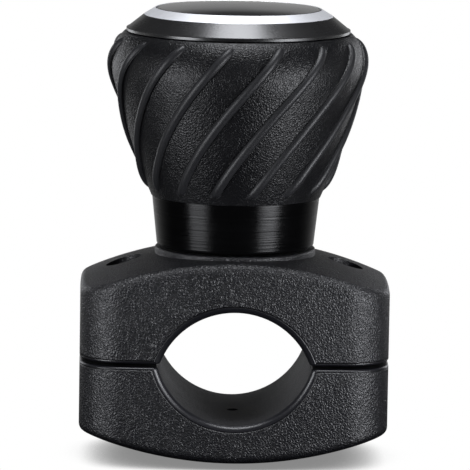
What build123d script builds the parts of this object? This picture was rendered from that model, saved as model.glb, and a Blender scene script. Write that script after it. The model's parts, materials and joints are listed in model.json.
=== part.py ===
"""Spinner knob for a steering wheel: a two-part rim clamp, a fixed spindle and a ball-bearing knob.

Millimetres. The origin is the middle of the rim opening, +Z runs up the spindle, +X across the clamp
and +Y along the rim.
"""
import os
from math import asin, cos, degrees, pi, radians, sin, sqrt

from build123d import *

os.makedirs("parts", exist_ok=True)

# Clamp block
clamp_width = 62.2
clamp_depth = 38.5
clamp_front_bulge = 0.9
clamp_side_bulge = 0.3
clamp_corner_radius = 9.0
upper_height = 22.6
lower_height = 20.5
upper_arch_radius = 75.0
lower_arch_radius = 80.0
crown_radius = 117.0
outer_edge_radius = 1.8
split_height = 0.6
split_gap = 0.7
split_edge_radius = 0.55
cut_margin = 5.0

# Rim opening, a lens of two arcs
opening_arc_radius = 15.88
opening_arc_offset = 4.53
opening_rim_radius = 1.3
pad_hole_diameter = 2.3
pad_hole_depth = 5.0

# Boss under the knob
boss_radius = 16.2
boss_drop = 0.42
boss_edge_radius = 0.35

# Clamp screws and nuts, M4
screw_inset = 8.75
screw_diameter = 4.0
screw_length = 30.0
screw_head_diameter = 7.0
screw_head_height = 4.0
screw_head_edge = 0.35
screw_end_chamfer = 0.5
screw_key_width = 3.0
screw_key_depth = 2.0
screw_seat_height = 13.2
screw_hole_clearance = 0.25
screw_head_clearance = 0.15
nut_width = 7.0
nut_height = 3.2
nut_depth = 8.1
nut_clearance = 0.1
nut_face_share = 0.94
nut_chamfer_share = 0.12
thread_clearance = 0.05

# Spindle, M8 with a countersunk head in the roof of the opening
spindle_diameter = 8.0
spindle_hole_clearance = 0.1
spindle_head_diameter = 15.6
spindle_head_rim = 0.6
spindle_head_recess = 0.5
spindle_key_width = 5.0
spindle_key_depth = 3.0
spindle_end = 1.0
spindle_end_chamfer = 1.0
fit_clearance = 0.01

# Bearings, 608 size
bearing_outer_diameter = 22.0
bearing_width = 7.0
inner_race_diameter = 12.1
outer_race_bore = 19.2
race_chamfer = 0.3
ball_diameter = 3.969
ball_circle_diameter = 15.0
ball_count = 7
ball_clearance = 0.05
cage_wall = 1.5
cage_base = 0.65
cage_crown = 0.9
shield_thickness = 0.25
shield_inset = 0.15
shield_clearance = 0.15

# Stack on the spindle
base_spacer_height = 1.6
base_spacer_diameter = 11.9
bearing_spacing = 16.0
spacer_wall = 1.9
washer_diameter = 12.4
washer_thickness = 1.6
spindle_nut_width = 13.0
spindle_nut_height = 8.0
spindle_nut_hex_height = 6.0
spindle_nut_collar_sink = 0.4
spindle_nut_collar_radius = 5.85
spindle_nut_collar_edge = 0.8
spacer_chamfer = 0.2

# Hub
hub_bottom_gap = 0.9
hub_foot_radius = 14.2
hub_shoulder_width = 1.2
hub_cone_height = 23.3
hub_well_width = 1.2
hub_well_step = 0.5
hub_socket_step = 0.5
hub_tube_wall = 1.4
hub_wall = 2.2
hub_rib_thickness = 1.8
hub_rib_count = 6
hub_top_inset = 0.9
hub_top_bevel = 3.4
hub_pocket_floor = 1.0

# Collar
collar_gap = 0.35
collar_height = 10.15
collar_bottom_wall = 1.6
collar_top_wall = 2.7
collar_edge_radius = 0.7

# Grip sleeve: its largest radius, and its wall over the hub at each height above the collar
grip_radius = 25.45
grip_wall = 3.65
grip_walls = [(2.9, 0.0), (3.19, 3.4), (3.48, 11.4), (3.22, 21.1), (grip_wall, 27.0), (3.06, 30.4)]
grip_height = 33.2
grip_top_wall = 1.92
grip_top_sink = 0.3
ridge_count = 15
ridge_radius = 0.95
ridge_rise = 0.85
ridge_dive = 1.2
ridge_run = 3.0
ridge_twist = 64.7
ridge_start_angle = 11.6
ridge_bottom_gap = 1.45
ridge_top_gap = 1.0
ridge_steps = 7

# Bezel, trim ring and cap
bezel_lip_inset = 0.4
bezel_lip_height = 0.5
bezel_lip_bevel = 0.35
bezel_lip_bevel_height = 0.15
bezel_height = 3.2
bezel_top_radius = 18.96
bezel_spigot = 2.2
bezel_spigot_wall = 1.1
bezel_spigot_gap = 0.1
bezel_ledge_width = 1.6
bezel_floor = 0.6
bezel_rim_width = 0.9
trim_height = 1.36
trim_spigot = 0.75
trim_width = 1.46
trim_edge = 0.12
cap_clearance = 0.2
cap_rise = 0.85
cap_edge = 0.2
cap_thickness = 1.0
cap_skirt_wall = 1.2
cap_skirt_depth = 3.4
cap_skirt_gap = 0.1
cap_web = 0.3

# Heights that follow
opening_half_height = opening_arc_radius - opening_arc_offset
opening_half_width = sqrt(opening_arc_radius**2 - opening_arc_offset**2)
upper_face = split_height + split_gap / 2
lower_face = split_height - split_gap / 2
boss_top = upper_height - boss_drop
head_bottom = opening_half_height + spindle_head_recess
bearing_1_bottom = boss_top + base_spacer_height
bearing_1_top = bearing_1_bottom + bearing_width
bearing_2_bottom = bearing_1_top + bearing_spacing
bearing_2_top = bearing_2_bottom + bearing_width
washer_top = bearing_2_top + washer_thickness
spindle_nut_top = washer_top + spindle_nut_height
spindle_top = spindle_nut_top + spindle_end
hub_bottom = boss_top + hub_bottom_gap
collar_bottom = boss_top + collar_gap
collar_top = collar_bottom + collar_height
grip_top = collar_top + grip_height
bezel_top = grip_top + bezel_height
trim_top = bezel_top + trim_height
screw_x = clamp_width / 2 - screw_inset
spindle_radius = spindle_diameter / 2
bearing_radius = bearing_outer_diameter / 2
ball_circle_radius = ball_circle_diameter / 2
nut_top = lower_face - nut_depth
hub_upper_radius = grip_radius - grip_wall
flare = (hub_upper_radius - hub_foot_radius) / hub_cone_height
recess_radius = bezel_top_radius - bezel_rim_width
trim_bore_radius = recess_radius - trim_width
bezel_bore_radius = trim_bore_radius - bezel_ledge_width
hub_socket_radius = bezel_bore_radius - hub_socket_step
hub_tube_radius = hub_socket_radius + hub_tube_wall


# The clamp seen from above: four shallow arcs with rounded corners
def clamp_plan():
    half_x = clamp_width / 2 - clamp_side_bulge
    half_y = clamp_depth / 2 - clamp_front_bulge
    with BuildSketch() as plan:
        with BuildLine():
            ThreePointArc((-half_x, -half_y), (0, -clamp_depth / 2), (half_x, -half_y))
            ThreePointArc((half_x, -half_y), (clamp_width / 2, 0), (half_x, half_y))
            ThreePointArc((half_x, half_y), (0, clamp_depth / 2), (-half_x, half_y))
            ThreePointArc((-half_x, half_y), (-clamp_width / 2, 0), (-half_x, -half_y))
        make_face()
        fillet(plan.vertices(), clamp_corner_radius)
    return plan.sketch


# The profile that turns about a lying axis to arch and crown one side of the block
def arch_profile(apex, arch_radius, side):
    half = clamp_depth / 2 + cut_margin
    axis_height = side * (apex - arch_radius)
    edge = side * (apex - crown_radius + sqrt(crown_radius**2 - half**2))
    with BuildSketch() as profile:
        with BuildLine():
            Line((-half, axis_height), (-half, edge))
            ThreePointArc((-half, edge), (0, side * apex), (half, edge))
            Polyline((half, edge), (half, axis_height), (-half, axis_height))
        make_face()
    return profile.sketch


plan_face = clamp_plan()
block_reach = max(upper_height, lower_height) + cut_margin
cut_length = clamp_depth + 2 * cut_margin
rim_front = clamp_depth / 2 - outer_edge_radius

# Upper clamp half with the boss, the spindle seat and the screw counterbores
with BuildPart() as clamp_upper:
    with BuildSketch(Plane.XY.offset(upper_face)):
        add(plan_face)
    extrude(amount=block_reach)
    with BuildSketch(Plane.YZ):
        add(arch_profile(upper_height, upper_arch_radius, 1))
    revolve(
        axis=Axis((0, 0, upper_height - upper_arch_radius), (0, 1, 0)),
        mode=Mode.INTERSECT,
    )
    fillet(clamp_upper.faces().sort_by(Axis.Z)[-1].edges(), outer_edge_radius)
    with BuildSketch(Plane.XZ.offset(cut_length / 2)):
        with Locations((0, -opening_arc_offset)):
            Circle(opening_arc_radius)
    extrude(amount=-cut_length, mode=Mode.SUBTRACT)
    rim_edges = clamp_upper.edges().filter_by(
        lambda e: abs(e.center().X) < opening_half_width
        and abs(e.center().Y) > rim_front
        and upper_face < e.center().Z < opening_half_height + split_gap
    )
    fillet(rim_edges, opening_rim_radius)
    split_edges = clamp_upper.edges().filter_by_position(Axis.Z, upper_face, upper_face)
    fillet(split_edges, split_edge_radius)
    with BuildSketch(Plane.XY.offset(boss_top)):
        Circle(boss_radius)
    extrude(amount=block_reach, mode=Mode.SUBTRACT)
    with BuildSketch(Plane.XY.offset(boss_top)):
        Circle(boss_radius)
    extrude(amount=boss_top - opening_half_height - outer_edge_radius, dir=(0, 0, -1))
    fillet(
        clamp_upper.edges().filter_by(GeomType.CIRCLE).filter_by_position(Axis.Z, boss_top, boss_top),
        boss_edge_radius,
    )
    with Locations((-screw_x, 0, block_reach), (screw_x, 0, block_reach)):
        CounterBoreHole(
            screw_diameter / 2 + screw_hole_clearance,
            screw_head_diameter / 2 + screw_head_clearance,
            block_reach - screw_seat_height,
        )
    seat_radius = spindle_head_diameter / 2 + spindle_hole_clearance
    hole_radius = spindle_radius + spindle_hole_clearance
    cone_start = head_bottom + spindle_head_rim
    with BuildSketch(Plane.XZ):
        with BuildLine():
            Polyline(
                (0, 0),
                (seat_radius, 0),
                (seat_radius, cone_start),
                (hole_radius, cone_start + seat_radius - hole_radius),
                (hole_radius, block_reach),
                (0, block_reach),
                close=True,
            )
        make_face()
    revolve(axis=Axis.Z, mode=Mode.SUBTRACT)
clamp_upper.part.label = "clamp_upper"

# Lower clamp half with the nut pockets and the small hole for the lining's peg
with BuildPart() as clamp_lower:
    with BuildSketch(Plane.XY.offset(lower_face)):
        add(plan_face)
    extrude(amount=-block_reach)
    with BuildSketch(Plane.YZ):
        add(arch_profile(lower_height, lower_arch_radius, -1))
    revolve(
        axis=Axis((0, 0, lower_arch_radius - lower_height), (0, 1, 0)),
        mode=Mode.INTERSECT,
    )
    fillet(clamp_lower.faces().sort_by(Axis.Z)[0].edges(), outer_edge_radius)
    with BuildSketch(Plane.XZ.offset(cut_length / 2)):
        with Locations((0, opening_arc_offset)):
            Circle(opening_arc_radius)
    extrude(amount=-cut_length, mode=Mode.SUBTRACT)
    rim_edges = clamp_lower.edges().filter_by(
        lambda e: abs(e.center().X) < opening_half_width
        and abs(e.center().Y) > rim_front
        and -opening_half_height - split_gap < e.center().Z < lower_face
    )
    fillet(rim_edges, opening_rim_radius)
    split_edges = clamp_lower.edges().filter_by_position(Axis.Z, lower_face, lower_face)
    fillet(split_edges, split_edge_radius)
    with Locations((-screw_x, 0, lower_face), (screw_x, 0, lower_face)):
        Hole(screw_diameter / 2 + screw_hole_clearance)
    with BuildSketch(Plane.XY.offset(nut_top)):
        with Locations((-screw_x, 0), (screw_x, 0)):
            RegularPolygon(nut_width / 2 + nut_clearance, 6, major_radius=False)
    extrude(amount=-block_reach, mode=Mode.SUBTRACT)
    with Locations((0, 0, -opening_half_height)):
        Hole(pad_hole_diameter / 2, depth=pad_hole_depth)
clamp_lower.part.label = "clamp_lower"


# A socket head screw standing on its seat at the origin, with its shank pointing down
def socket_screw():
    with BuildPart() as screw:
        with BuildSketch():
            Circle(screw_head_diameter / 2)
        extrude(amount=screw_head_height)
        fillet(screw.edges().group_by(Axis.Z)[-1], screw_head_edge)
        with BuildSketch(Plane.XY.offset(screw_head_height)):
            RegularPolygon(screw_key_width / 2, 6, major_radius=False)
        extrude(amount=-screw_key_depth, mode=Mode.SUBTRACT)
        with BuildSketch():
            Circle(screw_diameter / 2 - thread_clearance)
        extrude(amount=-screw_length)
        chamfer(screw.edges().group_by(Axis.Z)[0], screw_end_chamfer)
    return screw.part


# A hexagon nut with its top face at the origin
def hex_nut(width, height, bore_radius):
    with BuildPart() as nut:
        with BuildSketch():
            RegularPolygon(width / 2, 6, major_radius=False)
        extrude(amount=-height)
        corner_radius = width / 2 / cos(pi / 6)
        face_radius = width / 2 * nut_face_share
        bevel = height * nut_chamfer_share
        with BuildSketch(Plane.XZ):
            with BuildLine():
                Polyline(
                    (0, 0),
                    (face_radius, 0),
                    (corner_radius, -bevel),
                    (corner_radius, bevel - height),
                    (face_radius, -height),
                    (0, -height),
                    close=True,
                )
            make_face()
        revolve(axis=Axis.Z, mode=Mode.INTERSECT)
        Hole(bore_radius)
    return nut.part


screw_model = socket_screw()
nut_model = hex_nut(nut_width, nut_height, screw_diameter / 2)

with BuildPart(Location((-screw_x, 0, screw_seat_height))) as clamp_screw_left:
    add(screw_model)
clamp_screw_left.part.label = "clamp_screw_left"

with BuildPart(Location((screw_x, 0, screw_seat_height))) as clamp_screw_right:
    add(screw_model)
clamp_screw_right.part.label = "clamp_screw_right"

with BuildPart(Location((-screw_x, 0, nut_top))) as clamp_nut_left:
    add(nut_model)
clamp_nut_left.part.label = "clamp_nut_left"

with BuildPart(Location((screw_x, 0, nut_top))) as clamp_nut_right:
    add(nut_model)
clamp_nut_right.part.label = "clamp_nut_right"

# Spindle: countersunk head below, threaded end above
with BuildPart() as spindle:
    head_radius = spindle_head_diameter / 2
    cone_bottom = head_bottom + spindle_head_rim
    with BuildSketch(Plane.XZ):
        with BuildLine():
            Polyline(
                (0, head_bottom),
                (head_radius, head_bottom),
                (head_radius, cone_bottom),
                (spindle_radius, cone_bottom + head_radius - spindle_radius),
                (spindle_radius, spindle_top - spindle_end_chamfer),
                (spindle_radius - spindle_end_chamfer, spindle_top),
                (0, spindle_top),
                close=True,
            )
        make_face()
    revolve(axis=Axis.Z)
    with BuildSketch(Plane.XY.offset(head_bottom)):
        RegularPolygon(spindle_key_width / 2, 6, major_radius=False)
    extrude(amount=spindle_key_depth, mode=Mode.SUBTRACT)
spindle.part.label = "spindle"


# A plain ring standing on its lower face
def ring(inner_radius, outer_radius, height):
    with BuildPart() as body:
        with BuildSketch():
            Circle(outer_radius)
            Circle(inner_radius, mode=Mode.SUBTRACT)
        extrude(amount=height)
        circles = body.edges().filter_by(GeomType.CIRCLE)
        outer_edges = circles.filter_by(lambda e: e.radius > (inner_radius + outer_radius) / 2)
        chamfer(outer_edges, spacer_chamfer)
    return body.part


stack_bore = spindle_radius + fit_clearance

with BuildPart(Location((0, 0, boss_top))) as base_spacer:
    add(ring(stack_bore, base_spacer_diameter / 2, base_spacer_height))
base_spacer.part.label = "base_spacer"

with BuildPart(Location((0, 0, bearing_1_top))) as bearing_spacer:
    add(ring(stack_bore, spindle_radius + spacer_wall, bearing_spacing))
bearing_spacer.part.label = "bearing_spacer"

with BuildPart(Location((0, 0, bearing_2_top))) as spindle_washer:
    add(ring(stack_bore, washer_diameter / 2, washer_thickness))
spindle_washer.part.label = "spindle_washer"

# Locking nut: a hexagon with a domed collar that holds the nylon ring
with BuildPart(Location((0, 0, washer_top))) as spindle_nut:
    with Locations((0, 0, spindle_nut_hex_height)):
        add(hex_nut(spindle_nut_width, spindle_nut_hex_height, stack_bore))
    with BuildSketch(Plane.XY.offset(washer_top + spindle_nut_hex_height - spindle_nut_collar_sink)):
        Circle(spindle_nut_collar_radius)
        Circle(stack_bore, mode=Mode.SUBTRACT)
    extrude(amount=spindle_nut_height - spindle_nut_hex_height + spindle_nut_collar_sink)
    fillet(
        spindle_nut.edges().filter_by(GeomType.CIRCLE).group_by(Axis.Z)[-1].sort_by(SortBy.RADIUS)[-1],
        spindle_nut_collar_edge,
    )
spindle_nut.part.label = "spindle_nut"

race_groove_radius = ball_diameter / 2 + ball_clearance


# Inner race with its ball groove, centred on the origin
def inner_race():
    with BuildPart() as race:
        with BuildSketch(Plane.XZ):
            with Locations(((stack_bore + inner_race_diameter / 2) / 2, 0)):
                Rectangle(inner_race_diameter / 2 - stack_bore, bearing_width)
            with Locations((ball_circle_radius, 0)):
                Circle(race_groove_radius, mode=Mode.SUBTRACT)
        revolve(axis=Axis.Z)
        circles = race.edges().filter_by(GeomType.CIRCLE)
        chamfer(circles.filter_by(lambda e: e.radius < stack_bore + fit_clearance), race_chamfer)
    return race.part


# Outer race with its ball groove, centred on the origin
def outer_race():
    with BuildPart() as race:
        with BuildSketch(Plane.XZ):
            with Locations(((outer_race_bore / 2 + bearing_radius) / 2, 0)):
                Rectangle(bearing_radius - outer_race_bore / 2, bearing_width)
            with Locations((ball_circle_radius, 0)):
                Circle(race_groove_radius, mode=Mode.SUBTRACT)
        revolve(axis=Axis.Z)
        circles = race.edges().filter_by(GeomType.CIRCLE)
        chamfer(circles.filter_by(lambda e: e.radius > bearing_radius - fit_clearance), race_chamfer)
    return race.part


# The ring of balls, centred on the origin
def ball_set():
    with BuildPart() as balls:
        with PolarLocations(ball_circle_radius, ball_count):
            Sphere(ball_diameter / 2)
    return balls.part


# Crown cage: a ring with one round pocket for each ball, open at the top
def ball_cage():
    pocket_radius = ball_diameter / 2 + ball_clearance
    with BuildPart() as cage:
        with BuildSketch(Plane.XY.offset(-pocket_radius - cage_base)):
            Circle(ball_circle_radius + cage_wall / 2)
            Circle(ball_circle_radius - cage_wall / 2, mode=Mode.SUBTRACT)
        extrude(amount=pocket_radius + cage_base + cage_crown)
        with PolarLocations(ball_circle_radius, ball_count):
            Sphere(pocket_radius, mode=Mode.SUBTRACT)
    return cage.part


# Two dust shields, one near each face of the bearing
def shield_pair():
    outer = outer_race_bore / 2 - fit_clearance
    inner = inner_race_diameter / 2 + shield_clearance
    height = bearing_width / 2 - shield_inset - shield_thickness
    with BuildPart() as shields:
        with BuildSketch(Plane.XY.offset(height)):
            Circle(outer)
            Circle(inner, mode=Mode.SUBTRACT)
        extrude(amount=shield_thickness)
        mirror(about=Plane.XY)
    return shields.part


inner_race_model = inner_race()
outer_race_model = outer_race()
ball_model = ball_set()
cage_model = ball_cage()
shield_model = shield_pair()
bearing_1_middle = Location((0, 0, bearing_1_bottom + bearing_width / 2))
bearing_2_middle = Location((0, 0, bearing_2_bottom + bearing_width / 2))

with BuildPart(bearing_1_middle) as lower_inner_race:
    add(inner_race_model)
lower_inner_race.part.label = "lower_inner_race"

with BuildPart(bearing_1_middle) as lower_outer_race:
    add(outer_race_model)
lower_outer_race.part.label = "lower_outer_race"

with BuildPart(bearing_1_middle) as lower_balls:
    add(ball_model)
lower_balls.part.label = "lower_balls"

with BuildPart(bearing_1_middle) as lower_cage:
    add(cage_model)
lower_cage.part.label = "lower_cage"

with BuildPart(bearing_1_middle) as lower_shields:
    add(shield_model)
lower_shields.part.label = "lower_shields"

with BuildPart(bearing_2_middle) as upper_inner_race:
    add(inner_race_model)
upper_inner_race.part.label = "upper_inner_race"

with BuildPart(bearing_2_middle) as upper_outer_race:
    add(outer_race_model)
upper_outer_race.part.label = "upper_outer_race"

with BuildPart(bearing_2_middle) as upper_balls:
    add(ball_model)
upper_balls.part.label = "upper_balls"

with BuildPart(bearing_2_middle) as upper_cage:
    add(cage_model)
upper_cage.part.label = "upper_cage"

with BuildPart(bearing_2_middle) as upper_shields:
    add(shield_model)
upper_shields.part.label = "upper_shields"

# Hub: bearing seats either side of a shoulder, a flared shell that carries the sleeve, ribs between
cone_top = collar_top + hub_cone_height
bevel_bottom = grip_top - hub_top_bevel
well_bottom = bearing_2_top + hub_well_step
socket_bottom = grip_top - bezel_spigot - bezel_spigot_gap
seat_bore = bearing_radius + fit_clearance
shoulder_radius = bearing_radius - hub_shoulder_width
well_radius = bearing_radius + hub_well_width
pocket_bottom_radius = hub_tube_radius + hub_pocket_floor
pocket_bottom = collar_top + (pocket_bottom_radius + hub_wall - hub_foot_radius) / flare

# The space between the hub's tube and its shell, parted by the ribs
with BuildPart() as hub_pockets:
    with BuildSketch(Plane.XZ):
        with BuildLine():
            Polyline(
                (hub_tube_radius, pocket_bottom),
                (pocket_bottom_radius, pocket_bottom),
                (hub_upper_radius - hub_wall, cone_top),
                (hub_upper_radius - hub_wall, bevel_bottom),
                (hub_upper_radius - hub_wall - hub_top_inset, grip_top),
                (hub_tube_radius, grip_top),
                close=True,
            )
        make_face()
    revolve(axis=Axis.Z)
    with BuildSketch(Plane.XY.offset(pocket_bottom)):
        with PolarLocations(hub_upper_radius / 2, hub_rib_count):
            Rectangle(hub_upper_radius, hub_rib_thickness)
    extrude(amount=grip_top - pocket_bottom, mode=Mode.SUBTRACT)

with BuildPart() as hub:
    with BuildSketch(Plane.XZ):
        with BuildLine():
            Polyline(
                (seat_bore, hub_bottom),
                (hub_foot_radius, hub_bottom),
                (hub_foot_radius, collar_top),
                (hub_upper_radius, cone_top),
                (hub_upper_radius, bevel_bottom),
                (hub_upper_radius - hub_top_inset, grip_top),
                (hub_socket_radius, grip_top),
                (hub_socket_radius, socket_bottom),
                (well_radius, socket_bottom),
                (well_radius, well_bottom),
                (seat_bore, well_bottom),
                (seat_bore, bearing_2_bottom),
                (shoulder_radius, bearing_2_bottom),
                (shoulder_radius, bearing_1_top),
                (seat_bore, bearing_1_top),
                close=True,
            )
        make_face()
    revolve(axis=Axis.Z)
    add(hub_pockets.part, mode=Mode.SUBTRACT)
hub.part.label = "hub"

# Collar: a tapered metal ring round the hub's foot
collar_bore_radius = hub_foot_radius + fit_clearance
with BuildPart() as collar:
    with BuildSketch(Plane.XZ) as collar_sketch:
        with BuildLine():
            Polyline(
                (collar_bore_radius, collar_bottom),
                (hub_foot_radius + collar_bottom_wall, collar_bottom),
                (hub_foot_radius + collar_top_wall, collar_top),
                (collar_bore_radius, collar_top),
                close=True,
            )
        make_face()
        fillet(collar_sketch.vertices().sort_by(Axis.Y)[:2].sort_by(Axis.X)[-1], collar_edge_radius)
    revolve(axis=Axis.Z)
collar.part.label = "collar"


# The hub's outer radius at a height above the collar
def hub_radius(height):
    bevel_share = max(0, height - grip_height + hub_top_bevel) / hub_top_bevel
    return min(hub_foot_radius + flare * height, hub_upper_radius) - hub_top_inset * bevel_share


# Grip sleeve: a turned rubber body with rounded ridges that wind round it
grip_top_radius = hub_radius(grip_height - grip_top_sink) + grip_top_wall
with BuildLine(Plane.XZ) as grip_line:
    grip_points = [(hub_radius(height) + wall, collar_top + height) for wall, height in grip_walls]
    Spline(grip_points + [(grip_top_radius, grip_top - grip_top_sink)])
outer_curve = grip_line.line.edges()[0]
ridge_sunk = ridge_radius - ridge_rise
ridge_length = outer_curve.length - ridge_bottom_gap - ridge_top_gap


# A point on the ridge's middle line, which keeps one depth under the surface and sinks at both ends
def ridge_point(distance):
    share = (ridge_bottom_gap + distance) / outer_curve.length
    on_curve = outer_curve.position_at(share)
    along = outer_curve.tangent_at(share)
    turn = radians(ridge_twist * (on_curve.Z - collar_top) / grip_height)
    level = min(1, distance / ridge_run, (ridge_length - distance) / ridge_run)
    depth = ridge_sunk + (ridge_dive - ridge_sunk) * (1 - level) ** 2
    reach = on_curve.X - depth * along.Z
    return (reach * cos(turn), reach * sin(turn), on_curve.Z + depth * along.X)


with BuildPart() as ridge:
    level_length = ridge_length - 2 * ridge_run
    distances = [0, ridge_run / 2]
    distances += [ridge_run + level_length * i / ridge_steps for i in range(ridge_steps + 1)]
    distances += [ridge_length - ridge_run / 2, ridge_length]
    with BuildLine() as ridge_path:
        Spline([ridge_point(distance) for distance in distances])
    with BuildSketch(Plane(origin=ridge_path.line @ 0, x_dir=(-1, 0, 0), z_dir=ridge_path.line % 0)):
        Circle(ridge_radius)
    sweep()

with BuildPart() as grip_sleeve:
    with BuildSketch(Plane.XZ):
        with BuildLine():
            add(outer_curve)
            Polyline(
                outer_curve @ 1,
                (hub_upper_radius - hub_top_inset, 0, grip_top),
                (hub_upper_radius, 0, bevel_bottom),
                (hub_upper_radius, 0, cone_top),
                (hub_foot_radius, 0, collar_top),
                outer_curve @ 0,
            )
        make_face()
    revolve(axis=Axis.Z)
    with PolarLocations(0, ridge_count, start_angle=ridge_start_angle):
        add(ridge.part)
grip_sleeve.part.label = "grip_sleeve"

# Bezel: a black cone with a thin lip over the sleeve and a spigot in the hub
recess_floor = bezel_top - trim_spigot
bezel_lip_radius = grip_top_radius - bezel_lip_inset
with BuildPart() as bezel:
    spigot_radius = hub_socket_radius - fit_clearance
    lip_top = grip_top + bezel_lip_height + bezel_lip_bevel_height
    with BuildSketch(Plane.XZ):
        with BuildLine():
            Polyline(
                (spigot_radius - bezel_spigot_wall, grip_top - bezel_spigot),
                (spigot_radius, grip_top - bezel_spigot),
                (spigot_radius, grip_top),
                (bezel_lip_radius, grip_top),
                (bezel_lip_radius, grip_top + bezel_lip_height),
                (bezel_lip_radius - bezel_lip_bevel, lip_top),
                (bezel_top_radius, bezel_top),
                (recess_radius, bezel_top),
                (recess_radius, recess_floor),
                (bezel_bore_radius, recess_floor),
                (bezel_bore_radius, grip_top + bezel_floor),
                (spigot_radius - bezel_spigot_wall, grip_top + bezel_floor),
                close=True,
            )
        make_face()
    revolve(axis=Axis.Z)
bezel.part.label = "bezel"

# Trim ring: a polished cone that sits in the bezel's recess
with BuildPart() as trim_ring:
    with BuildSketch(Plane.XZ):
        with BuildLine():
            Polyline(
                (trim_bore_radius, recess_floor),
                (recess_radius - fit_clearance, recess_floor),
                (recess_radius - fit_clearance, bezel_top),
                (bezel_top_radius, bezel_top),
                (trim_bore_radius + trim_edge, trim_top),
                (trim_bore_radius, trim_top - trim_edge),
                close=True,
            )
        make_face()
    revolve(axis=Axis.Z)
trim_ring.part.label = "trim_ring"

# Cap: a shallow gloss dome with a skirt inside the bezel
cap_radius = trim_bore_radius - cap_clearance
cap_top = trim_top + cap_rise
dome_edge = cap_radius - cap_edge
dome_radius = (dome_edge**2 + cap_rise**2) / (2 * cap_rise)
dome_angle = degrees(asin(dome_edge / dome_radius))
with BuildPart() as cap:
    skirt_radius = bezel_bore_radius - cap_skirt_gap
    with BuildSketch(Plane.XZ):
        with BuildLine():
            dome = CenterArc((0, cap_top - dome_radius), dome_radius, 90 - dome_angle, dome_angle)
            Polyline(
                dome @ 0,
                (cap_radius, trim_top - cap_edge),
                (cap_radius, recess_floor),
                (skirt_radius, recess_floor),
                (skirt_radius, trim_top - cap_skirt_depth),
                (skirt_radius - cap_skirt_wall, trim_top - cap_skirt_depth),
                (skirt_radius - cap_skirt_wall, trim_top - cap_thickness - cap_web),
                (0, cap_top - cap_thickness),
                dome @ 1,
            )
        make_face()
    revolve(axis=Axis.Z)
cap.part.label = "cap"

for piece in (
    clamp_upper, clamp_lower, clamp_screw_left, clamp_screw_right, clamp_nut_left, clamp_nut_right,
    spindle, base_spacer, bearing_spacer, spindle_washer, spindle_nut,
    lower_inner_race, lower_outer_race, lower_balls, lower_cage, lower_shields,
    upper_inner_race, upper_outer_race, upper_balls, upper_cage, upper_shields,
    hub, collar, grip_sleeve, bezel, trim_ring, cap,
):
    export_step(piece.part, f"parts/{piece.part.label}.step")
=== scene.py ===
"""Looks of the steering wheel spinner knob: materials, threaded screws, studio light and the camera.

Metres, in the part's own frame: the origin is the middle of the rim opening, +Z runs up the spindle,
+X across the clamp and +Y along the rim.
"""
import json
import math

import bpy
from mathutils import Matrix, Vector


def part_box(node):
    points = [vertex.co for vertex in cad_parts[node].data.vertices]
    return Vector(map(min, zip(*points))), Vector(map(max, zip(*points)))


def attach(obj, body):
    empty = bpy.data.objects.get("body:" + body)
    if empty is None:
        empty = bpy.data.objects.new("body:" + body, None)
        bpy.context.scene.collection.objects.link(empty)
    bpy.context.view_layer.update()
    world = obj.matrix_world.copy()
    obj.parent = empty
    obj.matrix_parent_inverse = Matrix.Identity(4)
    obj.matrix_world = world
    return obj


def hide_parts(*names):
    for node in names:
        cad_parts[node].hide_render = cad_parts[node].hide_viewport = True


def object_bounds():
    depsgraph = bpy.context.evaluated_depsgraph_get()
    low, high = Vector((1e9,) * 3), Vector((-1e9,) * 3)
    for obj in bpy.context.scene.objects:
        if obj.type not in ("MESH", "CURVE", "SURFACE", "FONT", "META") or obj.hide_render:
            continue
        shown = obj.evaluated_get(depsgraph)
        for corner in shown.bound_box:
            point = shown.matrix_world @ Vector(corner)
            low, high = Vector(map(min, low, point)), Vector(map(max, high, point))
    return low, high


MM = 0.001

# Forms of the part that the patterns follow
OPENING_ARC_RADIUS = 15.88 * MM
OPENING_ARC_OFFSET = 4.53 * MM
RIM_BAND = 1.35 * MM
SPLIT_HEIGHT = 0.6 * MM
SPLIT_BAND = 0.95 * MM
BAND_LINE = 0.22 * MM
GRAIN_CELL = 0.55 * MM
GRIP_GRAIN_CELL = 0.52 * MM
GRAIN_WARP = 0.8 * MM
RIDGE_COUNT = 15
RIDGE_START = 11.6
RIDGE_TWIST = 64.7
RIDGE_LEAN_COSINE = 0.82
RIDGE_HALF_WIDTH = 0.95 * MM

# M4 screw form
SCREW_PITCH = 0.7 * MM
SCREW_CREST = 1.95 * MM
SCREW_ROOT = 1.58 * MM
SCREW_LENGTH = 30.0 * MM
SCREW_THREAD_LENGTH = 22.0 * MM
SCREW_TIP_CHAMFER = 0.5 * MM
SCREW_HEAD_RADIUS = 3.5 * MM
SCREW_HEAD_HEIGHT = 4.0 * MM
SCREW_HEAD_EDGE = 0.35 * MM
SCREW_KEY_WIDTH = 3.0 * MM
SCREW_KEY_DEPTH = 2.0 * MM
SCREW_SIDES = 48
THREAD_STEPS_PER_TURN = 10
THREAD_FLANK_GAIN = 1.15
THREAD_CREST_SHARE = 0.15
THREAD_ROOT_LIMIT = 0.9
SCREW_EDGE_STEPS = 4
MERGE_DISTANCE = 0.001 * MM

# Blacks of the moulded pieces, in linear light. The crease blacks are painted shade for the grain's creases
# and the feet of the grip's ridges
PLASTIC_BLACK = (0.0048, 0.0049, 0.0066, 1)
PLASTIC_CREASE_SHADE = (0.0006, 0.0006, 0.001, 1)
RUBBER_BLACK = (0.0032, 0.0033, 0.0042, 1)
RUBBER_CREASE_SHADE = (0.0008, 0.0008, 0.0011, 1)
RIDGE_BLACK = (0.012, 0.0122, 0.0135, 1)

# How deep the patterns go
CLAMP_GRAIN_DEPTH = 0.09 * MM
GRIP_GRAIN_DEPTH = 0.06 * MM
FINE_TURNING_DEPTH = 0.0024 * MM
COARSE_TURNING_DEPTH = 0.06 * MM
METAL_TURNING_DEPTH = 0.004 * MM

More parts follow.
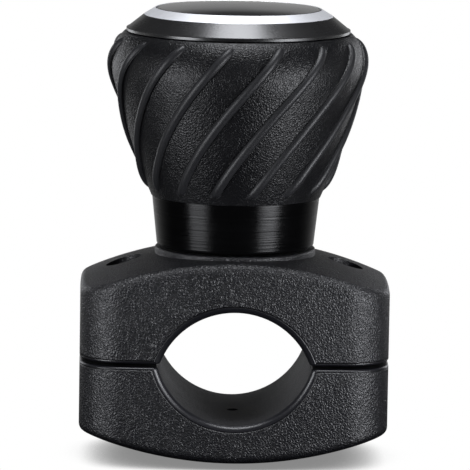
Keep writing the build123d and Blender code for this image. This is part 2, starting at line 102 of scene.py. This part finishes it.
# Studio: even fill from the backdrop, a slightly cool lamp colour and the floor's soft shadow
WORLD_FILL = 0.12
SOFTBOX_COLOR = (0.94, 0.955, 1.0)
SHADOW_REACH = 35 * MM
SHADOW_DARKEST = 0.24
FLOOR_BOUNCE = (0.15, 0.15, 0.15, 1)
BLACK = (0, 0, 0, 1)
WHITE = (1, 1, 1, 1)
LAMP_AIM = Vector((0.0, 0.0, 0.03))

# Each lamp: its name, place, width, height and radiance
LAMPS = [
    ("softbox_left", (-0.104, -0.081, 0.018), 0.055, 0.075, 7.0),
    ("softbox_right", (0.092, -0.096, 0.018), 0.055, 0.075, 8.2),
    ("front_right", (0.122, -0.108, 0.012), 0.055, 0.05, 9.0),
    ("panel_left", (-0.24, -0.165, 0.06), 0.12, 0.16, 3.0),
    ("panel_right", (0.24, -0.165, 0.06), 0.12, 0.16, 2.4),
    ("back_left", (-0.16, 0.20, 0.06), 0.09, 0.12, 2.0),
    ("back_right", (0.16, 0.20, 0.06), 0.09, 0.12, 2.0),
    ("softbox_top", (0.0, 0.06, 0.66), 0.25, 0.30, 8.8),
    ("softbox_front", (0.0, -0.19, 0.67), 0.42, 0.18, 15.0),
]

# Camera, from the photograph's perspective
IMAGE_SIZE = 470
FOCAL_PIXELS = 4737.0
SENSOR_WIDTH = 36.0
CAMERA_DISTANCE = 0.957
CAMERA_ELEVATION = 8.071
CAMERA_AZIMUTH = -1.186
CAMERA_ROLL = 0.944
CAMERA_TARGET = Vector((-0.000024, 0.0, 0.024448))

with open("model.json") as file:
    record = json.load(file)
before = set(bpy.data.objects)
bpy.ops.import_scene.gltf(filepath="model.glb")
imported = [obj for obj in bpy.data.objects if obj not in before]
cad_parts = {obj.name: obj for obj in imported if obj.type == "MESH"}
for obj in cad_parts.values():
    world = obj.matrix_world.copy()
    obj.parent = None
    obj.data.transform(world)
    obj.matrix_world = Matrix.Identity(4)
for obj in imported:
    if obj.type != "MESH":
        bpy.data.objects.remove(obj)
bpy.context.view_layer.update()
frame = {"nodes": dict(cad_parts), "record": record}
nodes = frame["nodes"]


# Helpers for shader and geometry trees: each adds one node and gives back its output
class Graph:
    def __init__(self, tree):
        self.tree = tree

    def add(self, kind, **settings):
        made = self.tree.nodes.new(kind)
        for key, value in settings.items():
            setattr(made, key, value)
        return made

    def put(self, socket, value):
        if hasattr(value, "is_output"):
            self.tree.links.new(value, socket)
        else:
            socket.default_value = value

    def math(self, operation, *values, clamp=False):
        made = self.add("ShaderNodeMath", operation=operation, use_clamp=clamp)
        for socket, value in zip(made.inputs, values):
            self.put(socket, value)
        return made.outputs[0]

    def vector(self, operation, *values):
        made = self.add("ShaderNodeVectorMath", operation=operation)
        for socket, value in zip(made.inputs, values):
            self.put(socket, value)
        return made.outputs["Value" if operation in ("LENGTH", "DOT_PRODUCT") else "Vector"]

    def ramp(self, value, low, high, to_low=0.0, to_high=1.0):
        made = self.add("ShaderNodeMapRange", interpolation_type="SMOOTHSTEP")
        for name, number in (("Value", value), ("From Min", low), ("From Max", high),
                             ("To Min", to_low), ("To Max", to_high)):
            self.put(made.inputs[name], number)
        return made.outputs["Result"]

    def place(self):
        return self.add("ShaderNodeTexCoord").outputs["Object"]

    def split(self, vector):
        made = self.add("ShaderNodeSeparateXYZ")
        self.put(made.inputs[0], vector)
        return made.outputs

    def join(self, x, y, z):
        made = self.add("ShaderNodeCombineXYZ")
        for socket, value in zip(made.inputs, (x, y, z)):
            self.put(socket, value)
        return made.outputs[0]

    def switch(self, test, if_true, if_false):
        made = self.add("GeometryNodeSwitch", input_type="FLOAT")
        for name, value in (("Switch", test), ("True", if_true), ("False", if_false)):
            self.put(made.inputs[name], value)
        return made.outputs["Output"]

    # A geometry node between the geometry so far and what follows it
    def shape(self, kind, geometry, **values):
        made = self.add(kind)
        self.put(made.inputs[0], geometry)
        for name, value in values.items():
            self.put(made.inputs[name.replace("_", " ")], value)
        return made.outputs[0]

    def noise(self, vector, scale, detail=2.0, roughness=0.5, color=False):
        made = self.add("ShaderNodeTexNoise")
        self.put(made.inputs["Vector"], vector)
        self.put(made.inputs["Scale"], scale)
        made.inputs["Detail"].default_value = detail
        made.inputs["Roughness"].default_value = roughness
        return made.outputs["Color" if color else "Fac"]

    def colors(self, factor, first, second):
        made = self.add("ShaderNodeMix", data_type="RGBA")
        sockets = {socket.identifier: socket for socket in made.inputs}
        self.put(sockets["Factor_Float"], factor)
        self.put(sockets["A_Color"], first)
        self.put(sockets["B_Color"], second)
        return next(socket for socket in made.outputs if socket.identifier == "Result_Color")

    def use(self, group, **values):
        made = self.add("ShaderNodeGroup", node_tree=group)
        for name, value in values.items():
            self.put(made.inputs[name], value)
        return made.outputs


def new_group(name, inputs, outputs):
    tree = bpy.data.node_groups.new(name, "ShaderNodeTree")
    for label, value in inputs.items():
        socket = tree.interface.new_socket(label, in_out="INPUT", socket_type="NodeSocketFloat")
        socket.default_value = value
    for label in outputs:
        tree.interface.new_socket(label, in_out="OUTPUT", socket_type="NodeSocketFloat")
    graph = Graph(tree)
    return tree, graph, graph.add("NodeGroupInput").outputs, graph.add("NodeGroupOutput").inputs


# Leather grain: rounded pebbles parted by narrow creases, under a fine tooth that gives most of the height
def leather_grain():
    tree, g, given, out = new_group("leather_grain", {"Cells per metre": 1500.0}, ["Height", "Crease"])
    place = g.place()
    warp = g.noise(place, 700.0, detail=2.0, color=True)
    warp = g.vector("SUBTRACT", warp, (0.5, 0.5, 0.5))
    warp = g.vector("MULTIPLY", warp, (GRAIN_WARP, GRAIN_WARP, GRAIN_WARP))
    cells = g.add("ShaderNodeTexVoronoi", feature="DISTANCE_TO_EDGE")
    g.put(cells.inputs["Vector"], g.vector("ADD", place, warp))
    g.put(cells.inputs["Scale"], given["Cells per metre"])
    pebble = g.ramp(cells.outputs["Distance"], 0.0, 0.32)
    tooth = g.noise(place, 3000.0, detail=1.0, roughness=0.5)
    g.put(out["Height"], g.math("MULTIPLY_ADD", tooth, 1.1, g.math("MULTIPLY", pebble, 0.55)))
    # Crease marks the creases, where the materials put painted shade
    g.put(out["Crease"], g.ramp(cells.outputs["Distance"], 0.02, 0.16, 1.0, 0.0))
    return tree


# Handling marks: slow changes in how a surface shines
def soft_marks():
    tree, g, given, out = new_group("soft_marks", {"Scale": 60.0}, ["Marks"])
    broad = g.noise(g.place(), given["Scale"], detail=4.0, roughness=0.62)
    g.put(out["Marks"], g.ramp(broad, 0.32, 0.7))
    return tree


# Fine lines left by turning, the same all the way round
def turned_lines():
    tree, g, given, out = new_group("turned_lines", {"Lines per metre": 9000.0}, ["Lines"])
    x, y, z = g.split(g.place())
    radius = g.vector("LENGTH", g.join(x, y, 0.0))
    lines = g.noise(g.join(radius, 0.0, z), given["Lines per metre"], detail=3.0, roughness=0.7)
    g.put(out["Lines"], lines)
    return tree


# Plain bands of the clamp: along the split, round the opening's rim and inside it
def clamp_bands():
    tree, g, given, out = new_group("clamp_bands", {}, ["Plain", "Line", "Wall"])
    x, y, z = g.split(g.place())
    from_arc = g.vector("LENGTH", g.join(x, g.math("ADD", g.math("ABSOLUTE", z), OPENING_ARC_OFFSET), 0.0))
    from_wall = g.math("SUBTRACT", from_arc, OPENING_ARC_RADIUS)
    from_arc = g.math("SUBTRACT", from_wall, RIM_BAND)
    from_split = g.math("ABSOLUTE", g.math("SUBTRACT", z, SPLIT_HEIGHT))
    from_split = g.math("SUBTRACT", from_split, SPLIT_BAND)
    outside = g.math("MINIMUM", from_arc, from_split)
    g.put(out["Plain"], g.ramp(outside, -0.05 * MM, 0.1 * MM, 1.0, 0.0))
    g.put(out["Line"], g.ramp(g.math("ABSOLUTE", outside), 0.0, BAND_LINE, 1.0, 0.0))
    g.put(out["Wall"], g.ramp(from_wall, 0.02 * MM, 0.2 * MM, 1.0, 0.0))
    return tree


# The smooth ridges that wind round the sleeve
def sleeve_ridges(bottom, height):
    tree, g, given, out = new_group("sleeve_ridges", {}, ["Ridge", "Foot"])
    x, y, z = g.split(g.place())
    turn = g.math("MULTIPLY", g.math("SUBTRACT", z, bottom), math.radians(RIDGE_TWIST) / height)
    angle = g.math("SUBTRACT", g.math("ARCTAN2", y, x), g.math("ADD", turn, math.radians(RIDGE_START)))
    pitch = 2 * math.pi / RIDGE_COUNT
    share = g.math("SUBTRACT", g.math("FRACT", g.math("ADD", g.math("DIVIDE", angle, pitch), 10.5)), 0.5)
    radius = g.vector("LENGTH", g.join(x, y, 0.0))
    pitch_width = g.math("MULTIPLY", radius, pitch * RIDGE_LEAN_COSINE)
    across = g.math("MULTIPLY", g.math("ABSOLUTE", share), pitch_width)
    ends = g.math("MULTIPLY", g.ramp(z, bottom + 1.3 * MM, bottom + 2.1 * MM),
                  g.ramp(z, bottom + height - 1.9 * MM, bottom + height - 0.9 * MM, 1.0, 0.0))
    ridge = g.ramp(across, RIDGE_HALF_WIDTH * 0.92, RIDGE_HALF_WIDTH * 1.02, 1.0, 0.0)
    # Foot marks each side of a ridge's foot, where the grip gets painted shade
    foot = g.ramp(g.math("ABSOLUTE", g.math("SUBTRACT", across, RIDGE_HALF_WIDTH)), 0.0, 0.3 * MM, 1.0, 0.0)
    g.put(out["Ridge"], g.math("MULTIPLY", ridge, ends))
    g.put(out["Foot"], g.math("MULTIPLY", foot, ends))
    return tree


GRAIN = leather_grain()
MARKS = soft_marks()
LINES = turned_lines()
BANDS = clamp_bands()
sleeve_low, sleeve_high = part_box("grip_sleeve")
RIDGES = sleeve_ridges(sleeve_low.z, sleeve_high.z - sleeve_low.z)


def new_material(name):
    material = bpy.data.materials.new(name)
    material.use_nodes = True
    graph = Graph(material.node_tree)
    shader = material.node_tree.nodes["Principled BSDF"]
    return material, graph, shader.inputs


def bump(g, height, depth, strength=1.0, normal=None):
    made = g.add("ShaderNodeBump")
    g.put(made.inputs["Height"], height)
    g.put(made.inputs["Distance"], depth)
    g.put(made.inputs["Strength"], strength)
    if normal is not None:
        g.put(made.inputs["Normal"], normal)
    return made.outputs["Normal"]


# Moulded black plastic with a leather grain and plain bands
def clamp_plastic():
    material, g, shader = new_material("clamp_plastic")
    grain = g.use(GRAIN, **{"Cells per metre": 1.0 / GRAIN_CELL})
    bands = g.use(BANDS)
    marks = g.use(MARKS, Scale=55.0)["Marks"]
    grained = g.math("MULTIPLY_ADD", bands["Wall"], 0.6, g.math("SUBTRACT", 1.0, bands["Plain"]))
    crease = g.math("MULTIPLY", grain["Crease"], grained)
    # The crease colour is painted shade in the grain's creases; the band line is a dark groove at the edges
    # of the plain bands
    dark = g.math("MAXIMUM", crease, bands["Line"])
    g.put(shader["Base Color"], g.colors(dark, PLASTIC_BLACK, PLASTIC_CREASE_SHADE))
    rough = g.math("MULTIPLY_ADD", crease, 0.12, g.math("MULTIPLY_ADD", marks, 0.06, 0.35))
    rough = g.math("MULTIPLY_ADD", bands["Plain"], -0.03, rough)
    g.put(shader["Roughness"], g.math("MULTIPLY_ADD", bands["Wall"], 0.25, rough))
    height = g.math("MULTIPLY_ADD", bands["Line"], -0.8, g.math("MULTIPLY", grain["Height"], grained))
    g.put(shader["Normal"], bump(g, height, CLAMP_GRAIN_DEPTH))
    shader["Specular IOR Level"].default_value = 0.5
    return material


# Black rubber: leather grain between smooth ridges
def grip_rubber():
    material, g, shader = new_material("grip_rubber")
    grain = g.use(GRAIN, **{"Cells per metre": 1.0 / GRIP_GRAIN_CELL})
    ridges = g.use(RIDGES)
    marks = g.use(MARKS, Scale=70.0)["Marks"]
    grained = g.math("SUBTRACT", 1.0, ridges["Ridge"])
    crease = g.math("MULTIPLY", grain["Crease"], grained)
    # Painted shade in the grain's creases and along the feet of the ridges
    dark = g.math("MAXIMUM", crease, g.math("MULTIPLY", ridges["Foot"], 0.8))
    ground = g.colors(dark, RUBBER_BLACK, RUBBER_CREASE_SHADE)
    g.put(shader["Base Color"], g.colors(ridges["Ridge"], ground, RIDGE_BLACK))
    rough = g.math("MULTIPLY_ADD", crease, 0.12, g.math("MULTIPLY_ADD", marks, 0.06, 0.32))
    g.put(shader["Roughness"], g.math("MULTIPLY_ADD", ridges["Ridge"], 0.1, rough))
    g.put(shader["Normal"], bump(g, g.math("MULTIPLY", grain["Height"], grained), GRIP_GRAIN_DEPTH))
    shader["Specular IOR Level"].default_value = 0.32
    return material


# Gloss black with turned lines, used on the bezel and, stretched round the axis, on the collar
def turned_black(name, color, roughness, spread, level, lines_per_metre=9000.0, depth=FINE_TURNING_DEPTH):
    material, g, shader = new_material(name)
    lines = g.use(LINES, **{"Lines per metre": lines_per_metre})["Lines"]
    marks = g.use(MARKS, Scale=80.0)["Marks"]
    lighter = tuple(1.5 * c for c in color[:3]) + (1,)
    g.put(shader["Base Color"], g.colors(g.ramp(lines, 0.35, 0.7), color, lighter))
    lined = g.math("MULTIPLY_ADD", lines, 0.08, roughness)
    g.put(shader["Roughness"], g.math("MULTIPLY_ADD", marks, 0.05, lined))
    g.put(shader["Normal"], bump(g, lines, depth))
    x, y, z = g.split(g.place())
    g.put(shader["Tangent"], g.vector("NORMALIZE", g.join(g.math("MULTIPLY", y, -1.0), x, 0.0)))
    shader["Anisotropic"].default_value = spread
    shader["Specular IOR Level"].default_value = level
    return material


# Polished or satin metal with turned lines and slight handling marks
def bare_metal(name, color, roughness, lines_per_metre=7000.0, depth=METAL_TURNING_DEPTH):
    material, g, shader = new_material(name)
    lines = g.use(LINES, **{"Lines per metre": lines_per_metre})["Lines"]
    marks = g.use(MARKS, Scale=90.0)["Marks"]
    darker = tuple(0.72 * c for c in color[:3]) + (1,)
    g.put(shader["Base Color"], g.colors(g.math("MULTIPLY", marks, 0.6), color, darker))
    lined = g.math("MULTIPLY_ADD", lines, 0.1, roughness)
    g.put(shader["Roughness"], g.math("MULTIPLY_ADD", marks, 0.1, lined))
    g.put(shader["Normal"], bump(g, lines, depth, 0.7))
    shader["Metallic"].default_value = 1.0
    return material


# Smooth moulded plastic with a faint orange-peel surface
def moulded(name, color, roughness, peel=0.01 * MM, level=0.5):
    material, g, shader = new_material(name)
    marks = g.use(MARKS, Scale=75.0)["Marks"]
    peel_height = g.noise(g.place(), 900.0, detail=3.0)
    lighter = tuple(1.25 * c for c in color[:3]) + (1,)
    g.put(shader["Base Color"], g.colors(marks, color, lighter))
    g.put(shader["Roughness"], g.math("MULTIPLY_ADD", marks, 0.08, roughness))
    g.put(shader["Normal"], bump(g, peel_height, peel, 0.5))
    shader["Specular IOR Level"].default_value = level
    return material


MATERIALS = {
    "clamp_plastic": clamp_plastic(),
    "grip_rubber": grip_rubber(),
    "bezel_gloss": turned_black("bezel_gloss", (0.004, 0.004, 0.0043, 1), 0.2, 0.4, 0.85),
    "collar_metal": turned_black("collar_metal", (0.0012, 0.0012, 0.0013, 1), 0.07, 0.8, 0.13,
                                 lines_per_metre=2400.0, depth=COARSE_TURNING_DEPTH),
    "trim_chrome": bare_metal("trim_chrome", (0.84, 0.85, 0.87, 1), 0.5),
    "cap_gloss": moulded("cap_gloss", (0.006, 0.006, 0.0065, 1), 0.05, peel=0.002 * MM),
    "hub_plastic": moulded("hub_plastic", (0.02, 0.02, 0.021, 1), 0.5),
    "cage_nylon": moulded("cage_nylon", (0.5, 0.44, 0.33, 1), 0.45),
    "screw_steel": bare_metal("screw_steel", (0.09, 0.09, 0.095, 1), 0.32),
    "nut_steel": bare_metal("nut_steel", (0.55, 0.56, 0.58, 1), 0.28),
    "spindle_steel": bare_metal("spindle_steel", (0.5, 0.51, 0.53, 1), 0.26),
    "bearing_steel": bare_metal("bearing_steel", (0.62, 0.63, 0.65, 1), 0.16),
    "ball_steel": bare_metal("ball_steel", (0.75, 0.76, 0.78, 1), 0.06, depth=0.001 * MM),
    "shield_steel": bare_metal("shield_steel", (0.58, 0.59, 0.6, 1), 0.22),
}


def dress(piece, material):
    piece.data.materials.clear()
    piece.data.materials.append(material)


for subpart in frame["record"]["subparts"]:
    dress(nodes[subpart["node"]], MATERIALS[subpart["material_slot"]])


# Inputs of the screw's geometry tree
SCREW_SIZES = {
    "Length": SCREW_LENGTH,
    "Thread length": SCREW_THREAD_LENGTH,
    "Pitch": SCREW_PITCH,
    "Crest radius": SCREW_CREST,
    "Root radius": SCREW_ROOT,
    "Tip chamfer": SCREW_TIP_CHAMFER,
    "Head radius": SCREW_HEAD_RADIUS,
    "Head height": SCREW_HEAD_HEIGHT,
    "Head edge": SCREW_HEAD_EDGE,
    "Key width": SCREW_KEY_WIDTH,
    "Key depth": SCREW_KEY_DEPTH,
}

# Rows of the screw's skin, from the middle of the key's floor to the middle of the tip
KEY_FLOOR_ROW = 1
KEY_TOP_ROW = 2
EDGE_ROW = 3
HEAD_ROW = EDGE_ROW + SCREW_EDGE_STEPS + 1
SHANK_ROW = HEAD_ROW + 1
SHANK_STEPS = round(SCREW_LENGTH / SCREW_PITCH * THREAD_STEPS_PER_TURN)
TIP_ROW = SHANK_ROW + SHANK_STEPS + 1


# Distance from the axis to the flats of the hexagon key
def key_radius(g, size, angle):
    corner = math.pi / 3
    from_flat = g.math("SUBTRACT", g.math("MODULO", angle, corner), corner / 2)
    return g.math("DIVIDE", g.math("MULTIPLY", size["Key width"], 0.5), g.math("COSINE", from_flat))


# Radius of the thread: a sharp ridge that climbs one pitch each turn and fades out up the shank
def thread_radius(g, size, angle, height):
    plain_end = g.math("SUBTRACT", size["Thread length"], size["Length"])
    below_plain = g.math("DIVIDE", g.math("SUBTRACT", plain_end, height), size["Pitch"])
    run_out = g.math("ADD", below_plain, 1.0, clamp=True)
    above_tip = g.math("ADD", size["Length"], height)
    tip = g.math("MINIMUM", 0.0, g.math("SUBTRACT", above_tip, size["Tip chamfer"]))
    turn = g.math("DIVIDE", angle, 2 * math.pi)
    phase = g.math("FRACT", g.math("SUBTRACT", g.math("DIVIDE", height, size["Pitch"]), turn))
    flank = g.math("ABSOLUTE", g.math("MULTIPLY_ADD", phase, 2.0, -1.0))
    groove = g.math("MAXIMUM", 0.0, g.math("MULTIPLY_ADD", flank, THREAD_FLANK_GAIN, -THREAD_CREST_SHARE))
    full_depth = g.math("SUBTRACT", size["Crest radius"], size["Root radius"])
    depth = g.math("MULTIPLY", g.math("MULTIPLY", full_depth, groove), run_out)
    cut = g.math("SUBTRACT", g.math("ADD", size["Crest radius"], tip), depth)
    return g.math("MAXIMUM", g.math("MULTIPLY", size["Root radius"], THREAD_ROOT_LIMIT), cut)


# Socket screw as one closed skin: a grid whose rows run down the screw and whose columns go round it
def socket_screw_tree():
    tree = bpy.data.node_groups.new("socket_screw", "GeometryNodeTree")
    for label in SCREW_SIZES:
        tree.interface.new_socket(label, in_out="INPUT", socket_type="NodeSocketFloat")
    tree.interface.new_socket("Seat", in_out="INPUT", socket_type="NodeSocketVector")
    tree.interface.new_socket("Finish", in_out="INPUT", socket_type="NodeSocketMaterial")
    tree.interface.new_socket("Screw", in_out="OUTPUT", socket_type="NodeSocketGeometry")
    g = Graph(tree)
    size = g.add("NodeGroupInput").outputs
    columns = SCREW_SIDES + 1
    index = g.add("GeometryNodeInputIndex").outputs[0]
    row = g.math("FLOOR", g.math("DIVIDE", g.math("ADD", index, 0.5), columns))
    column = g.math("SUBTRACT", index, g.math("MULTIPLY", row, columns))
    angle = g.math("MULTIPLY", column, 2 * math.pi / SCREW_SIDES)
    edge_share = g.math("DIVIDE", g.math("SUBTRACT", row, EDGE_ROW), SCREW_EDGE_STEPS, clamp=True)
    edge_turn = g.math("MULTIPLY", edge_share, math.pi / 2)

    edge_drop = g.math("MULTIPLY", size["Head edge"], g.math("SUBTRACT", 1.0, g.math("COSINE", edge_turn)))
    head_height = g.math("SUBTRACT", size["Head height"], edge_drop)
    shank_share = g.math("DIVIDE", g.math("SUBTRACT", row, SHANK_ROW), SHANK_STEPS, clamp=True)
    shank_height = g.math("MULTIPLY", g.math("MULTIPLY", shank_share, size["Length"]), -1.0)
    height = g.switch(g.math("LESS_THAN", row, HEAD_ROW), head_height, shank_height)
    height = g.switch(g.math("LESS_THAN", row, KEY_TOP_ROW), size["Key depth"], height)

    edge_inset = g.math("MULTIPLY", size["Head edge"], g.math("SUBTRACT", 1.0, g.math("SINE", edge_turn)))
    head_radius = g.math("SUBTRACT", size["Head radius"], edge_inset)
    thread = thread_radius(g, size, angle, shank_height)
    radius = g.switch(g.math("LESS_THAN", row, SHANK_ROW), head_radius, thread)
    radius = g.switch(g.math("LESS_THAN", row, EDGE_ROW), key_radius(g, size, angle), radius)
    radius = g.switch(g.math("LESS_THAN", row, KEY_FLOOR_ROW), 0.0, radius)
    radius = g.switch(g.math("LESS_THAN", row, TIP_ROW), radius, 0.0)

    x = g.math("MULTIPLY", radius, g.math("COSINE", angle))
    y = g.math("MULTIPLY", radius, g.math("SINE", angle))
    place = g.vector("ADD", g.join(x, y, height), size["Seat"])
    grid = g.add("GeometryNodeMeshGrid")
    grid.inputs["Vertices X"].default_value = TIP_ROW + 1
    grid.inputs["Vertices Y"].default_value = columns
    skin = g.shape("GeometryNodeSetPosition", grid.outputs["Mesh"], Position=place)
    skin = g.shape("GeometryNodeMergeByDistance", skin, Distance=MERGE_DISTANCE)
    skin = g.shape("GeometryNodeSetShadeSmooth", skin, Shade_Smooth=False)
    skin = g.shape("GeometryNodeRealizeInstances", skin)
    skin = g.shape("GeometryNodeSetMaterial", skin, Material=size["Finish"])
    g.put(g.add("NodeGroupOutput").inputs["Screw"], skin)
    return tree


SCREW_TREE = socket_screw_tree()


# One screw as a plain mesh, its head on the seat
def socket_screw(name, seat):
    screw = bpy.data.objects.new(name, bpy.data.meshes.new(name))
    bpy.context.scene.collection.objects.link(screw)
    build = screw.modifiers.new("socket_screw", "NODES")
    build.node_group = SCREW_TREE
    values = dict(SCREW_SIZES, Seat=seat, Finish=MATERIALS["screw_steel"])
    for item in SCREW_TREE.interface.items_tree:
        if item.in_out == "INPUT":
            build[item.identifier] = values[item.name]
    finished = screw.evaluated_get(bpy.context.evaluated_depsgraph_get())
    screw.data = bpy.data.meshes.new_from_object(finished)
    screw.modifiers.clear()
    return screw


for side, body in (("left", "left_screw"), ("right", "right_screw")):
    low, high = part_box(f"clamp_screw_{side}")
    seat = Vector(((low.x + high.x) / 2, (low.y + high.y) / 2, low.z + SCREW_LENGTH))
    screw = socket_screw(f"threaded_screw_{side}", seat)
    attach(screw, body)
    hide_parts(f"clamp_screw_{side}")

end_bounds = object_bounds()


# Floor: white to the camera with a soft shadow near the object, dark in front and pale behind in
# reflections, and clear from below
def add_floor(height, reach=3.0):
    mesh = bpy.data.meshes.new("studio_floor")
    signs = ((-1, -1), (1, -1), (1, 1), (-1, 1))
    corners = [(reach * x, reach * y, height) for x, y in signs]
    mesh.from_pydata(corners, [], [(0, 1, 2, 3)])
    floor = bpy.data.objects.new("studio_floor", mesh)
    bpy.context.scene.collection.objects.link(floor)
    material, g, shader = new_material("studio_floor")
    ray = g.add("ShaderNodeLightPath").outputs
    x, y, z = g.split(g.place())
    behind = g.math("MULTIPLY", ray["Is Glossy Ray"], g.ramp(y, 0.02, 0.25, 0.0, 0.4))
    near = g.add("ShaderNodeAmbientOcclusion", samples=16)
    near.inputs["Distance"].default_value = SHADOW_REACH
    shadow = g.ramp(near.outputs["AO"], 0.05, 0.62, SHADOW_DARKEST, 1.0)
    seen = g.math("MULTIPLY", ray["Is Camera Ray"], shadow)
    g.put(shader["Base Color"], g.colors(ray["Is Diffuse Ray"], BLACK, FLOOR_BOUNCE))
    shader["Roughness"].default_value = 0.9
    shader["Specular IOR Level"].default_value = 0.0
    shader["Emission Color"].default_value = WHITE
    g.put(shader["Emission Strength"], g.math("ADD", seen, behind))
    seen_from_below = g.add("ShaderNodeNewGeometry").outputs["Backfacing"]
    g.put(shader["Alpha"], g.math("SUBTRACT", 1.0, seen_from_below))
    dress(floor, material)


# Backdrop light: white to the camera, paler low down behind the object in reflections, even otherwise
def add_world():
    world = bpy.data.worlds.new("studio_world")
    world.use_nodes = True
    bpy.context.scene.world = world
    g = Graph(world.node_tree)
    background = world.node_tree.nodes["Background"]
    ray = g.add("ShaderNodeLightPath").outputs
    x, y, z = g.split(g.add("ShaderNodeTexCoord").outputs["Generated"])
    behind = g.ramp(y, -0.1, 0.35)
    low = g.ramp(z, 0.18, 0.27, 0.35, 0.04)
    seen = g.math("MULTIPLY_ADD", low, behind, 0.02)
    level = g.math("MULTIPLY_ADD", ray["Is Glossy Ray"], g.math("SUBTRACT", seen, WORLD_FILL), WORLD_FILL)
    level = g.math("MAXIMUM", level, ray["Is Camera Ray"])
    g.put(background.inputs["Color"], WHITE)
    g.put(background.inputs["Strength"], level)


def add_softbox(name, place, width, height, radiance):
    data = bpy.data.lights.new(name, "AREA")
    data.shape = "RECTANGLE"
    data.size = width
    data.size_y = height
    data.energy = radiance * math.pi * width * height
    data.color = SOFTBOX_COLOR
    light = bpy.data.objects.new(name, data)
    light.location = place
    light.rotation_euler = (LAMP_AIM - Vector(place)).to_track_quat("-Z", "Y").to_euler()
    light.visible_camera = False
    bpy.context.scene.collection.objects.link(light)


def add_camera():
    elevation, azimuth, roll = (math.radians(a) for a in (CAMERA_ELEVATION, CAMERA_AZIMUTH, CAMERA_ROLL))
    back = Vector((
        math.sin(azimuth) * math.cos(elevation),
        -math.cos(azimuth) * math.cos(elevation),
        math.sin(elevation),
    ))
    right = Vector((0, 0, 1)).cross(back).normalized()
    up = back.cross(right)
    rolled_right = right * math.cos(roll) + up * math.sin(roll)
    rolled_up = up * math.cos(roll) - right * math.sin(roll)
    data = bpy.data.cameras.new("photo_camera")
    data.sensor_width = SENSOR_WIDTH
    data.lens = FOCAL_PIXELS / IMAGE_SIZE * SENSOR_WIDTH
    data.clip_end = 20.0
    camera = bpy.data.objects.new("photo_camera", data)
    axes = Matrix((rolled_right, rolled_up, back)).transposed().to_4x4()
    axes.translation = CAMERA_TARGET + back * CAMERA_DISTANCE
    camera.matrix_world = axes
    bpy.context.scene.collection.objects.link(camera)
    bpy.context.scene.camera = camera


add_floor(end_bounds[0][2])
add_world()
for lamp in LAMPS:
    add_softbox(*lamp)
add_camera()
bpy.context.scene.view_settings.view_transform = "Standard"
